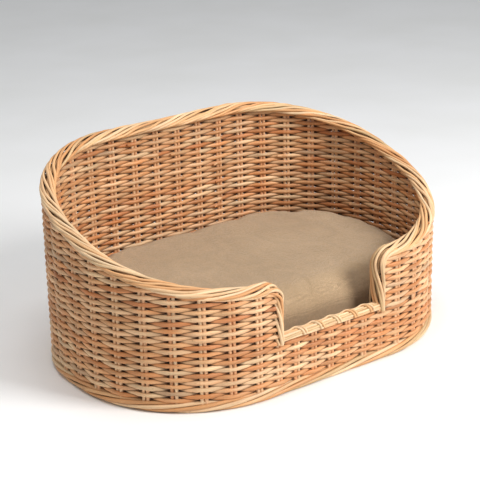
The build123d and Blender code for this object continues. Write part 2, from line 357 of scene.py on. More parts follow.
@dataclass(frozen=True)
class MetalFinish:
    """Worn metal: brushed lines, darker stains in patches and uneven gloss."""

    name: str
    colour: tuple[int, int, int]
    stain: tuple[int, int, int]
    roughness: float

    def material(self) -> bpy.types.Material:
        """A fine stretched noise for the brushing over a coarser one for the stains."""
        board = NodeBoard(self.name)
        place = board.add("TexCoord").outputs["Object"]
        lines = board.noise(board.stretch(place, (900, 5200, 5200)), 3.0)
        stains = board.noise(board.stretch(place, (420, 420, 420)), 4.0, 0.65)
        colour = board.blend(board.ease(stains, 0.42, 0.62), linear(*self.colour),
                             linear(*self.stain))
        board.fill(board.shader, {
            "Base Color": colour, "Metallic": 1.0,
            "Roughness": board.ease(lines, 0.3, 0.7, self.roughness - 0.08,
                                    self.roughness + 0.12)})
        board.bump(lines, 0.00004)
        return board.material


@dataclass(frozen=True)
class NylonFinish:
    """Dull drawn nylon with a faint mottle."""

    name: str
    colour: tuple[int, int, int]
    shade: tuple[int, int, int]

    def material(self) -> bpy.types.Material:
        """A small noise between two close colours."""
        board = NodeBoard(self.name)
        place = board.add("TexCoord").outputs["Object"]
        mottle = board.noise(board.stretch(place, (900, 900, 900)), 2.0)
        board.fill(board.shader, {
            "Base Color": board.blend(board.ease(mottle, 0.4, 0.6), linear(*self.shade),
                                      linear(*self.colour)),
            "Roughness": board.ease(mottle, 0.3, 0.7, 0.38, 0.5)})
        board.bump(mottle, 0.00003)
        return board.material


WALL_TONES = ((0.0, (202, 138, 92)), (0.12, (212, 154, 106)), (0.30, (222, 170, 122)),
              (0.50, (228, 182, 136)), (0.68, (233, 191, 149)), (0.84, (238, 204, 163)),
              (0.94, (230, 196, 155)), (1.0, (210, 174, 138)))
BORDER_TONES = ((0.0, (214, 160, 110)), (0.3, (226, 182, 134)), (0.55, (232, 196, 154)),
                (0.8, (236, 206, 168)), (1.0, (210, 178, 134)))
STAKE_TONES = ((0.0, (222, 168, 124)), (0.5, (232, 190, 150)), (1.0, (238, 208, 170)))


# ---- lines that the basket follows --------------------------------------------------------
@dataclass(frozen=True)
class Plan:
    """The basket's plan: a rounded rectangle, with the outside of the weave as its edge."""

    half_length: float
    half_width: float
    corner_x: float
    wall: float

    @classmethod
    def measured(cls) -> "Plan":
        """Take the plan from the CAD pieces' boxes."""
        wall_high = box_of("lower_siding")[1]
        return cls(half_length=wall_high[0], half_width=wall_high[1],
                   corner_x=box_of("right_edge_border")[1][0],
                   wall=wall_high[1] - box_of("woven_base")[1][1])

    @property
    def radius(self) -> float:
        """Plan radius of the corners."""
        return self.half_length - self.corner_x

    @property
    def corner_y(self) -> float:
        """How far the corners' centres stand out from the middle, front to back."""
        return self.half_width - self.radius

    @property
    def around(self) -> float:
        """Length of the line through the middle of the wall."""
        return 4 * self.corner_x + 4 * self.corner_y + TURN * (self.radius - self.wall / 2)

    def normals(self, along: Array) -> tuple[Array, Array]:
        """Corner centres and outward directions at distances along the middle of the wall.

        The way goes from the front's middle towards +X and on round: a run adds to the centre's
        place, and a quarter turn adds to the heading.

        Args:
            along: Distances, taken round and round.

        Returns:
            The centres and the outward directions, each as rows of x and y.
        """
        run, quarter = self.corner_x, np.pi / 2 * (self.radius - self.wall / 2)
        legs = [run, quarter, 2 * self.corner_y, quarter, 2 * run, quarter, 2 * self.corner_y,
                quarter, run]
        starts = np.concatenate([[0.0], np.cumsum(legs)[:-1]])
        place = np.mod(along, self.around)
        parts = [np.clip(place - start, 0, leg) for start, leg in zip(starts, legs)]
        heading = sum(parts[1::2]) / (self.radius - self.wall / 2)
        centres = np.stack([parts[0] - parts[4] + parts[8],
                            parts[2] - parts[6] - self.corner_y], axis=-1)
        return centres, np.stack([np.sin(heading), -np.cos(heading)], axis=-1)

    def place(self, along: Array, inset: Array | float, height: Array | float) -> Array:
        """Points at a distance along the wall, moved in from the outside, at a height."""
        centres, out = self.normals(along)
        flat = centres + out * (self.radius - np.broadcast_to(inset, along.shape))[..., None]
        return np.concatenate([flat, np.broadcast_to(height, along.shape)[..., None]], axis=-1)

    def outward(self, along: Array) -> Array:
        """Level outward directions as rows of x, y and z."""
        out = self.normals(along)[1]
        return np.concatenate([out, np.zeros((*along.shape, 1))], axis=-1)


@dataclass(frozen=True)
class RimLine:
    """The middle line of the border: level across, slanted front to back, down by the doorway."""

    plan: Plan
    inset: float
    front: float
    back: float
    edge_x: float
    bend: float
    low: float
    half_wide: float = 16.0 * MM
    half_thick: float = 9.5 * MM

    @classmethod
    def measured(cls, plan: Plan) -> "RimLine":
        """Take the line from the border pieces' boxes.

        The back's middle stands below its top by the rounded section's reach along Z, which is
        the sum of its flats' halves, each times its own slant, and its corner radius.
        """
        low, high = box_of("right_edge_border")
        half_wide, half_thick = cls.half_wide, cls.half_thick
        corner = 8.5 * MM
        y = -(low[1] + high[1]) / 2
        front = high[2] - half_thick
        top = box_of("rim_border")[1][2]
        back = top - half_thick
        for _ in range(4):
            angle = np.arctan2(back - front, 2 * y)
            back = top - corner - (half_wide - corner) * np.sin(angle) - (
                half_thick - corner) * np.cos(angle)
        edge_x = low[0] + half_thick
        return cls(plan=plan, inset=plan.half_width - y, front=front, back=back, edge_x=edge_x,
                   bend=plan.corner_x - edge_x, low=low[2])

    @property
    def reach(self) -> float:
        """How far the middle line stands out to the front and to the back."""
        return self.plan.half_width - self.inset

    @property
    def slope(self) -> float:
        """The rim's rise from front to back."""
        return (self.back - self.front) / (2 * self.reach)

    def height(self, y: Array) -> Array:
        """Height of the slanted rim over a y."""
        return (self.back + self.front) / 2 + self.slope * y

    def cover(self, along: Array) -> Array:
        """Height of the border's middle over places between the doorway and the back's middle.

        Over the bend it is the bend's foot plus the height of its quarter circle, and behind it
        the slanted rim.
        """
        y = self.plan.place(along, self.inset, 0.0)[:, 1]
        into = np.clip((along - self.edge_x) / self.bend, 0, 1)
        arch = self.front - self.bend + self.bend * np.sqrt(1 - (1 - into) ** 2)
        return np.where(along < self.plan.corner_x, arch, self.height(y))

    def first_along(self, height: float) -> float:
        """Where a level row at this height comes out of the border on its way round."""
        along = np.linspace(self.edge_x, self.plan.around / 2, 4000)
        cover = self.cover(along)
        return float(np.interp(height, cover + np.arange(4000) * 1e-9, along))

    def route(self, step: float) -> tuple[Array, Array]:
        """The whole line, from the right foot of the doorway round to the left one.

        Args:
            step: Distance between its points.

        Returns:
            The points, and the outward direction of the border's width at each.
        """
        on_leg, on_turn, on_rim = 39, 29, 1600
        top = self.front - self.bend
        rise = np.linspace(self.low, top, on_leg + 1)[:-1]
        leg = np.stack([np.full(on_leg, self.edge_x), np.full(on_leg, -self.reach), rise],
                       axis=-1)
        angle = np.linspace(np.pi, np.pi / 2, on_turn + 1)[:-1]
        turn = np.stack([self.plan.corner_x + self.bend * np.cos(angle),
                         np.full(on_turn, -self.reach), top + self.bend * np.sin(angle)], axis=-1)
        along = np.linspace(self.plan.corner_x, self.plan.around - self.plan.corner_x, on_rim)
        rim = self.plan.place(along, self.inset, 0.0)
        rim[:, 2] = self.height(rim[:, 1])
        lean = np.concatenate([np.zeros(on_leg), smooth(np.linspace(0, 1, on_turn)),
                               np.ones(on_rim // 2)])
        lean = np.concatenate([lean, lean[::-1]])
        start = np.concatenate([leg, turn])
        end = start[::-1] * np.array([-1, 1, 1])
        points = np.concatenate([start, rim, end])
        ahead = np.tile([0.0, -1.0], (on_leg + on_turn, 1))
        flat = np.concatenate([ahead, self.plan.normals(along)[1], ahead])
        across = unit(np.column_stack([flat, self.slope * flat[:, 1] * lean]))
        gaps = np.linalg.norm(np.diff(points, axis=0), axis=1)
        run = np.concatenate([[0.0], np.cumsum(gaps)])
        even = np.linspace(0, run[-1], int(run[-1] / step))
        line = np.stack([np.interp(even, run, points[:, axis]) for axis in range(3)], axis=-1)
        wide = np.stack([np.interp(even, run, across[:, axis]) for axis in range(3)], axis=-1)
        return line, unit(wide)


# ---- canes --------------------------------------------------------------------------------
@dataclass
class CaneBundle:
    """Round canes, each carried along its own path, gathered into one mesh."""

    sides: int = 8
    points: list[Array] = field(default_factory=list)
    corners: list[Array] = field(default_factory=list)
    counts: list[Array] = field(default_factory=list)
    tones: list[Array] = field(default_factory=list)
    fibres: list[Array] = field(default_factory=list)
    unshaded_shares: list[Array] = field(default_factory=list)
    total: int = 0

    def lay(self, path: Array, guide: Array, half_guide: Array | float, half_side: Array | float,
            tone: Array | float, start: float = 0.0, closed: bool = False,
            unshaded: Array | float = 1.0) -> None:
        """Carry a round or oval section along a path.

        Each point of the path gets a ring: the path's point, plus the guide's direction times its
        half size times the cosine of the turn, plus the third direction times its half size times
        the sine. The guide is first squared to the path.

        Args:
            path: The cane's middle line.
            guide: A direction across the cane at each point, or one for them all.
            half_guide: Half the cane's size along the guide.
            half_side: Half its size the other way.
            tone: Its place among the finish's tones, for each point or for them all.
            start: Where its fibre pattern starts.
            closed: Whether the path closes on itself.
            unshaded: 1 less the painted shade: 0 deep in the weave, 1 out on its face, for each
                point of each ring.
        """
        count = len(path)
        if closed:
            tangent = unit(np.roll(path, -1, axis=0) - np.roll(path, 1, axis=0))
        else:
            tangent = unit(np.gradient(path, axis=0))
        guide = np.broadcast_to(guide, path.shape)
        lean = unit(guide - (guide * tangent).sum(axis=1, keepdims=True) * tangent)
        side = np.cross(tangent, lean)
        turn = np.arange(self.sides) * TURN / self.sides
        wide = np.broadcast_to(half_guide, count)[:, None, None]
        deep = np.broadcast_to(half_side, count)[:, None, None]
        rings = (path[:, None] + wide * np.cos(turn)[None, :, None] * lean[:, None]
                 + deep * np.sin(turn)[None, :, None] * side[:, None])
        gaps = np.linalg.norm(np.diff(path, axis=0), axis=1)
        run = start + np.concatenate([[0.0], np.cumsum(gaps)])
        shape = (count, self.sides)
        fibre = np.stack([np.broadcast_to(wide[:, :, 0] * np.cos(turn), shape),
                          np.broadcast_to(deep[:, :, 0] * np.sin(turn), shape),
                          np.broadcast_to(run[:, None], shape)], axis=-1)
        corners, counts = ring_faces(count, self.sides, closed)
        self.points.append(rings.reshape(-1, 3))
        self.corners.append(corners + self.total)
        self.counts.append(counts)
        self.tones.append(np.broadcast_to(np.broadcast_to(tone, count)[:, None], shape).ravel())
        self.fibres.append(fibre.reshape(-1, 3))
        self.unshaded_shares.append(np.broadcast_to(unshaded, shape).ravel())
        self.total += count * self.sides

    def unshaded_by_side(self) -> Array:
        """Painted shade on a strand in a roll: 1, unshaded, on its outer side, falling to 0,
        darkest, on its inner one.
        """
        return 0.5 + 0.5 * np.cos(np.arange(self.sides) * TURN / self.sides)

    def build(self, name: str) -> bpy.types.Object:
        """Make the mesh, with each vertex's tone, painted shade and place in the fibre."""
        piece = make_piece(name, np.concatenate(self.points), np.concatenate(self.corners),
                           np.concatenate(self.counts))
        for label, values in (("tone", self.tones), ("unshaded", self.unshaded_shares)):
            each = piece.data.attributes.new(label, "FLOAT", "POINT")
            each.data.foreach_set("value", np.concatenate(values).astype(np.float32))
        fibre = piece.data.attributes.new("fibre", "FLOAT_VECTOR", "POINT")
        fibre.data.foreach_set("vector", np.concatenate(self.fibres).astype(np.float32).ravel())
        piece.data.set_sharp_from_angle(angle=np.radians(62))
        return piece


UP = np.array([0.0, 0.0, 1.0])


@dataclass
class Stakes:
    """The upright canes, in pairs, in the middle of the wall.

    Attributes:
        half_pair: Half the width of a pair in the CAD, which its boxes are measured to.
    """

    plan: Plan
    rim: RimLine
    finish: bpy.types.Material
    gaps: int = 35
    sill_pairs: int = 7
    radius: float = 3.8 * MM
    apart: float = 7.7 * MM
    foot: float = 4.0 * MM
    half_pair: float = 7.2 * MM
    seed: int = 11

    @property
    def first(self) -> float:
        """Where the first pair past the doorway stands."""
        return box_of("stakes_right_lobe")[0][0] + self.half_pair

    @property
    def sill_places(self) -> Array:
        """Where the sill's pairs stand, out from the middle."""
        outer = box_of("stakes_sill")[1][0] - self.half_pair
        return np.linspace(-outer, outer, self.sill_pairs)

    @property
    def wall_places(self) -> Array:
        """Where the pairs under the border stand, along the wall."""
        return np.linspace(self.first, self.plan.around - self.first, self.gaps + 1)

    def counted(self, along: Array) -> Array:
        """Count of pairs passed by a place along the wall, with shares between two pairs."""
        sill = self.sill_places
        once = np.concatenate([sill[sill >= 0], self.wall_places,
                               self.plan.around + sill[sill < 0]])
        ring = np.concatenate([once[-1:] - self.plan.around, once, once[:1] + self.plan.around])
        rounds = np.floor(along / self.plan.around)
        part = np.interp(along - rounds * self.plan.around, ring, np.arange(len(ring)) - 1.0)
        return part + rounds * len(once)

    def group(self, along: float) -> str:
        """The CAD node of the pair that stands here."""
        x, y, _ = self.plan.place(np.array([along]), self.plan.wall / 2, 0.0)[0]
        hand = "right" if x > 0 else "left"
        if y < -self.rim.reach / 2:
            return f"stakes_{hand}_lobe"
        return f"stakes_{hand}_end" if y < self.rim.reach / 2 else "stakes_back"

    def build(self) -> None:
        """Two slightly bowed canes for each pair, up into the border."""
        rng = np.random.default_rng(self.seed)
        bundles: dict[str, CaneBundle] = {}
        around = self.plan.around
        places = [(float(place), "stakes_sill", self.rim.low + 4 * MM)
                  for place in self.sill_places]
        for place in self.wall_places:
            top = float(self.rim.cover(np.array([min(place, around - place)]))[0])
            places.append((float(place), self.group(place), top - 3 * MM))
        for along, name, top in places:
            for side in (-0.5, 0.5):
                self.raise_cane(bundles.setdefault(name, CaneBundle()), along, side, top, rng)
        for name, bundle in bundles.items():
            settle(bundle.build(name + "_canes"), self.finish, Body.BASKET, Slot.STAKE, name)

    def raise_cane(self, bundle: CaneBundle, along: float, side: float, top: float,
                   rng: np.random.Generator) -> None:
        """One upright cane: a straight line with a slight bow and an uneven girth."""
        z = np.linspace(self.foot, top, max(int((top - self.foot) / (9 * MM)), 6))
        share = (z - self.foot) / (top - self.foot)
        sway = wander(share * 0.5, rng, 1, 5) * 0.5 * MM
        out = self.plan.outward(np.array([along]))[0]
        ahead = np.cross(UP, out)
        foot = self.plan.place(np.array([along]), self.plan.wall / 2, 0.0)[0]
        path = foot + (side * self.apart + sway)[:, None] * ahead + z[:, None] * UP
        path = path + (wander(share * 0.5, rng, 1, 4) * 0.3 * MM)[:, None] * out
        girth = self.radius * rng.uniform(0.93, 1.0) * (1.02 - 0.06 * share)
        bundle.lay(path, ahead, girth, girth, rng.uniform(), rng.uniform(0, 50))


@dataclass
class Siding:
    """The woven wall: level rows of cane that pass in front of one pair and behind the next.

    Attributes:
        hug: Power of the cane's wave; over 1 it stays near the wall's middle between pairs.
        press: How much taller a cane is pressed beside a pair, as a share of its height.
    """

    plan: Plan
    rim: RimLine
    stakes: Stakes
    finish: bpy.types.Material
    half_high: float = 4.0 * MM
    half_deep: float = 3.4 * MM
    reach: float = 3.8 * MM
    hug: float = 1.3
    press: float = 0.25
    pitch: float = 6.8 * MM
    step: float = 5.2 * MM
    seed: int = 23

    def build(self) -> None:
        """The rows below the sill in one winding cane, and the rows above it one by one."""
        rng = np.random.default_rng(self.seed)
        foot_top, low_top = box_of("lower_siding")[0][2], box_of("lower_siding")[1][2]
        around = self.plan.around
        rows = round((low_top - foot_top) / self.pitch)
        pitch = (low_top - foot_top) / rows
        winding = np.arange(0, rows * around, self.step)
        turns = np.floor(winding / around)
        share = winding / around - turns
        height = foot_top + pitch * (turns + 0.5 + smooth((share - 0.976) / 0.024))
        lower = CaneBundle()
        self.weave(lower, winding + around / 2, np.minimum(height, low_top - pitch / 2), 0, rng)
        settle(lower.build("lower_weave"), self.finish, Body.BASKET, Slot.WALL, "lower_siding")
        upper = CaneBundle()
        heights = np.arange(low_top + pitch / 2, self.rim.back - 5 * MM, self.pitch)
        for number, z in enumerate(heights):
            first = self.rim.first_along(z - 1 * MM)
            along = np.arange(first, around - first, self.step)
            self.weave(upper, along, np.full(len(along), z), number, rng)
        settle(upper.build("upper_weave"), self.finish, Body.BASKET, Slot.WALL, "upper_siding")

    def weave(self, bundle: CaneBundle, along: Array, height: Array, number: int,
              rng: np.random.Generator) -> None:
        """One row in and out of the stakes.

        The cane stands off the middle of the wall by its reach times the cosine of half a turn for
        each pair passed, raised to a power that keeps it near the middle between pairs. It is
        pressed taller just beside the pairs, which closes the wall there. Canes are joined end
        to end where the row is inside the wall, and each has its own tone and tapers from its
        thick end to its thin one.

        Args:
            bundle: Where the canes go.
            along: Places along the wall.
            height: Height of the row at each place.
            number: The row's number, which sets where it passes in front.
            rng: Source of tones, joins and unevenness.
        """
        passed = self.stakes.counted(along)
        wave = np.cos(np.pi * (passed + number))
        share = along / self.plan.around
        off = self.reach * np.sign(wave) * np.abs(wave) ** self.hug
        off = off * (1 + 0.06 * wander(share, rng, 9, 60))
        pressed = 1 + self.press * np.sin(np.pi * wave ** 2) ** 2
        common = 0.7 * MM * np.sin(TURN * 3 * share + height * 11) + (
            0.5 * MM * np.sin(TURN * 8 * share - height * 37))
        height = height + common + 0.32 * MM * wander(share, rng, 12, 70)
        joins = self.joins(passed, number, rng)
        cane = np.searchsorted(joins, passed, side="right")
        tones = rng.uniform(0, 1, len(joins) + 1)
        edges = np.concatenate([[passed[0] - 4], joins, [passed[-1] + 4]])
        taper = 1.05 - 0.13 * (passed - edges[cane]) / (edges[cane + 1] - edges[cane])
        girth = taper * (1 + 0.04 * wander(share, rng, 20, 90))
        path = self.plan.place(along, self.plan.wall / 2 - off, height)
        tone = np.clip(tones[cane] + 0.05 * wander(share, rng, 3, 14), 0, 1)
        turn = np.arange(bundle.sides) * TURN / bundle.sides
        # Painted shade: the cane darkens where its surface lies near the wall's middle, deep in the
        # weave.
        deep = np.abs(off[:, None] + self.half_deep * girth[:, None] * np.sin(turn))
        bundle.lay(path, UP, self.half_high * girth * pressed, self.half_deep * girth, tone,
                   rng.uniform(0, 80), unshaded=deep / (self.reach + self.half_deep))
        self.loose_ends(bundle, along, path, joins, passed, tone, rng)

    def joins(self, passed: Array, number: int, rng: np.random.Generator) -> Array:
        """Counts of pairs at which one cane ends and the next begins, all inside the wall."""
        steps = 2 * rng.integers(3, 10, 400)
        start = 2 * np.floor(passed[0] / 2) + 1 + (number % 2) - 2 * rng.integers(0, 4)
        every = start + np.cumsum(steps)
        return every[(every > passed[0] + 1) & (every < passed[-1] - 1)]

    def loose_ends(self, bundle: CaneBundle, along: Array, path: Array, joins: Array,
                   passed: Array, tone: Array, rng: np.random.Generator) -> None:
        """Short cut ends beside some joins, slanting off the inside of the wall."""
        for join in joins[rng.uniform(size=len(joins)) < 0.45]:
            spot = int(np.searchsorted(passed, join + 0.18))
            if spot >= len(path):
                continue
            out = self.plan.outward(along[spot:spot + 1])[0]
            ahead = np.cross(UP, out)
            run = np.linspace(0, rng.uniform(9, 16) * MM, 5)[:, None]
            start = path[spot] - 1.2 * MM * out - ahead * 6 * MM
            end = start + run * (ahead * 0.97 - out * 0.22 + UP * rng.uniform(-0.12, 0.12))
            bundle.lay(end, UP, 2.3 * MM, 2.1 * MM, tone[spot], rng.uniform(0, 80))


@dataclass
class Border:
    """The rolled border: long strands wound slowly round the hoop on top of the wall."""

    rim: RimLine
    finish: bpy.types.Material
    core_finish: bpy.types.Material
    strands: int = 10
    strand: float = 2.95 * MM
    lay_length: float = 300.0 * MM
    hoop: float = 4.5 * MM
    seed: int = 37

    def build(self) -> None:
        """The strands in three pieces, for the two edges and the rim, and the hoop inside."""
        rng = np.random.default_rng(self.seed)
        line, wide = self.rim.route(4.5 * MM)
        ahead = unit(np.gradient(line, axis=0))
        up = unit(np.cross(wide, ahead))
        run = np.concatenate([[0.0], np.cumsum(np.linalg.norm(np.diff(line, axis=0), axis=1))])
        edge = int(np.searchsorted(run, self.rim.front - self.rim.bend - self.rim.low
                                   + self.rim.bend * np.pi / 2))
        cuts = {"right_edge_border": slice(0, edge + 1), "rim_border": slice(edge, -edge),
                "left_edge_border": slice(-edge - 1, None)}
        bundles = {name: CaneBundle() for name in cuts}
        for number in range(self.strands):
            path, out, girth, tone = self.wind(number, line, wide, up, run, rng)
            for name, cut in cuts.items():
                # Painted shade: each strand is darker on its inner side, where it lies against the
                # hoop and its neighbours.
                bundles[name].lay(path[cut], out[cut], girth[cut], girth[cut], tone[cut],
                                  7.0 * number + run[cut][0], unshaded=bundles[name].unshaded_by_side())
        for name, bundle in bundles.items():
            settle(bundle.build(name + "_strands"), self.finish, Body.BASKET, Slot.BORDER, name)
        core = CaneBundle()
        core.lay(line, wide, self.hoop, self.hoop, 0.3)
        settle(core.build("rim_hoop_cane"), self.core_finish, Body.BASKET, Slot.THICK, "rim_hoop")

    def wind(self, number: int, line: Array, wide: Array, up: Array, run: Array,
             rng: np.random.Generator) -> tuple[Array, Array, Array, Array]:
        """One strand: a slow helix round the oval section.

        Its angle is its share of the turn, plus one turn for each lay length, plus a wander that
        bunches and fans the strands; its distance from the middle wanders too.

        Args:
            number: The strand's number.
            line: The border's middle line.
            wide: Outward direction of its width.
            up: Upward direction of its thickness.
            run: Distance along the line.
            rng: Source of the wander and the tones.

        Returns:
            The path, its outward guide, its half girth and its tone.
        """
        share = run / run[-1]
        angle = TURN * (number / self.strands + run / self.lay_length)
        angle = angle + 0.25 * wander(share, rng, 4, 16) + 0.10 * wander(share, rng, 15, 40)
        sink = 1 - 0.07 * (1 + wander(share, rng, 5, 22))
        fan = 1 + 0.28 * smooth((self.rim.front + 4 * MM - line[:, 2]) / (30 * MM))
        half_wide = (self.rim.half_wide - self.strand + 0.4 * MM) * sink * fan
        half_thick = (self.rim.half_thick - self.strand + 0.5 * MM) * sink * fan
        out = np.cos(angle)[:, None] * half_wide[:, None] * wide + (
            np.sin(angle)[:, None] * half_thick[:, None] * up)
        turns = np.floor(angle / TURN + 0.3).astype(int)
        tones = rng.uniform(0, 1, turns.max() - turns.min() + 1)
        girth = self.strand * (1 + 0.09 * wander(share, rng, 5, 18))
        return line + out, out, girth, tones[turns - turns.min()]


@dataclass
class Sill:
    """The sill's border: long canes over a rod, with the sill's stakes folded over them."""

    plan: Plan
    rim: RimLine
    stakes: Stakes
    finish: bpy.types.Material
    core_finish: bpy.types.Material
    long_canes: int = 8
    seed: int = 41

    def build(self) -> None:
        """The rod, the long canes and the folded pairs."""
        rng = np.random.default_rng(self.seed)
        low, high = box_of("sill_border")
        half, middle = high[0], (low[2] + high[2]) / 2
        count = 64
        x = np.linspace(-half - 6 * MM, half + 6 * MM, count)
        y = -self.plan.half_width + self.plan.wall / 2
        line = np.stack([x, np.full(count, y), np.full(count, middle)], axis=-1)
        rod = CaneBundle(sides=12)
        rod.lay(line, UP, 4.5 * MM, 4.5 * MM, 0.4)
        settle(rod.build("sill_rod_cane"), self.core_finish, Body.BASKET, Slot.THICK, "sill_rod")
        bundle = CaneBundle()
        share = np.linspace(0, 1, count)
        for number in range(self.long_canes):
            angle = TURN * (number / self.long_canes + 0.22 * share) + (
                0.10 * wander(share, rng, 1, 4))
            out = np.stack([0 * x, -np.cos(angle) * 6.4 * MM, np.sin(angle) * 5.6 * MM], axis=-1)
            girth = 2.6 * MM * (1 + 0.06 * wander(share, rng, 1, 5))
            # Painted shade: each long cane is darker on its inner side, towards the rod.
            bundle.lay(line + out, out, girth, girth, rng.uniform(), rng.uniform(0, 60),
                       unshaded=bundle.unshaded_by_side())
        for place in self.stakes.sill_places[1:-1]:
            for side in (-0.5, 0.5):
                self.fold(bundle, place + side * 6.6 * MM, y, middle, rng)
        self.edging(bundle, line, rng)
        settle(bundle.build("sill_border_strands"), self.finish, Body.BASKET, Slot.BORDER,
               "sill_border")

    def fold(self, bundle: CaneBundle, x: float, y: float, middle: float,
             rng: np.random.Generator) -> None:
        """A stake's end: up inside, over the long canes at a slant and on along the outside.

        The bend is half an ellipse from the inside to the outside; x moves on steadily through
        it, and the tail then runs on level and tucks in.
        """
        turn = np.linspace(-0.25 * np.pi, 1.08 * np.pi, 22)
        over = np.stack([x + 15 * MM * smooth((turn + 0.8) / 4.2), y + 8.9 * MM * np.cos(turn),
                         middle + 8.6 * MM * np.sin(turn)], axis=-1)
        tail = np.linspace(0, 1, 12)[1:, None]
        end = over[-1] + tail * np.array([rng.uniform(27, 34) * MM, 3.4 * MM, -2.2 * MM])
        path = np.concatenate([over, end])
        out = path - np.array([0, y, middle]) * [0, 1, 1] - path * [1, 0, 0]
        girth = np.linspace(2.9, 2.2, len(path)) * MM
        bundle.lay(path, out, girth * 0.86, girth, rng.uniform(), rng.uniform(0, 60))

    def edging(self, bundle: CaneBundle, line: Array, rng: np.random.Generator) -> None:
        """A thin cane along the inner top edge, with a gentle hump over each folded pair."""
        x = line[:, 0]
        near = np.min(np.abs(x[:, None] - (self.stakes.sill_places + 4 * MM)), axis=1)
        hump = 1 - smooth(near / (17 * MM))
        path = line + np.stack([0 * x, 7.6 * MM + 1.8 * MM * hump, 5.2 * MM + 2.2 * MM * hump],
                               axis=-1)
        bundle.lay(path, UP, 2.1 * MM, 2.1 * MM, rng.uniform(0.4, 0.8), rng.uniform(0, 60))


@dataclass
class Foot:
    """The waled foot: long strands laid like a rope round the bottom of the wall."""

    plan: Plan
    finish: bpy.types.Material
    strands: int = 5
    strand: float = 3.9 * MM
    rounds: int = 6
    seed: int = 53

    def build(self) -> None:
        """Closed strands, each a slow helix with a whole number of turns round the basket."""
        rng = np.random.default_rng(self.seed)
        low, high = box_of("foot_wale")
        middle = (low[2] + high[2]) / 2
        half_high = (high[2] - low[2]) / 2 - self.strand
        half_deep = self.plan.wall / 2 - self.strand + 0.3 * MM
        along = np.linspace(0, self.plan.around, 440, endpoint=False)
        share = along / self.plan.around
        line = self.plan.place(along, self.plan.wall / 2, middle)
        outward = self.plan.outward(along)
        bundle = CaneBundle()
        for number in range(self.strands):
            angle = TURN * (number / self.strands + self.rounds * share)
            angle = angle + 0.13 * wander(share, rng, 4, 16)
            out = (np.cos(angle) * half_deep)[:, None] * outward + (
                np.sin(angle) * half_high)[:, None] * UP
            turns = np.floor(angle / TURN + 0.5).astype(int) % self.rounds
            tone = rng.uniform(0, 1, self.rounds)[turns]
            girth = self.strand * (1 + 0.06 * wander(share, rng, 6, 20))
            # Painted shade: each strand is darker on its inner side, towards the middle of the foot.
            bundle.lay(line + out, out, girth, girth, tone, rng.uniform(0, 60), closed=True,
                       unshaded=bundle.unshaded_by_side())
        settle(bundle.build("foot_strands"), self.finish, Body.BASKET, Slot.FOOT, "foot_wale")


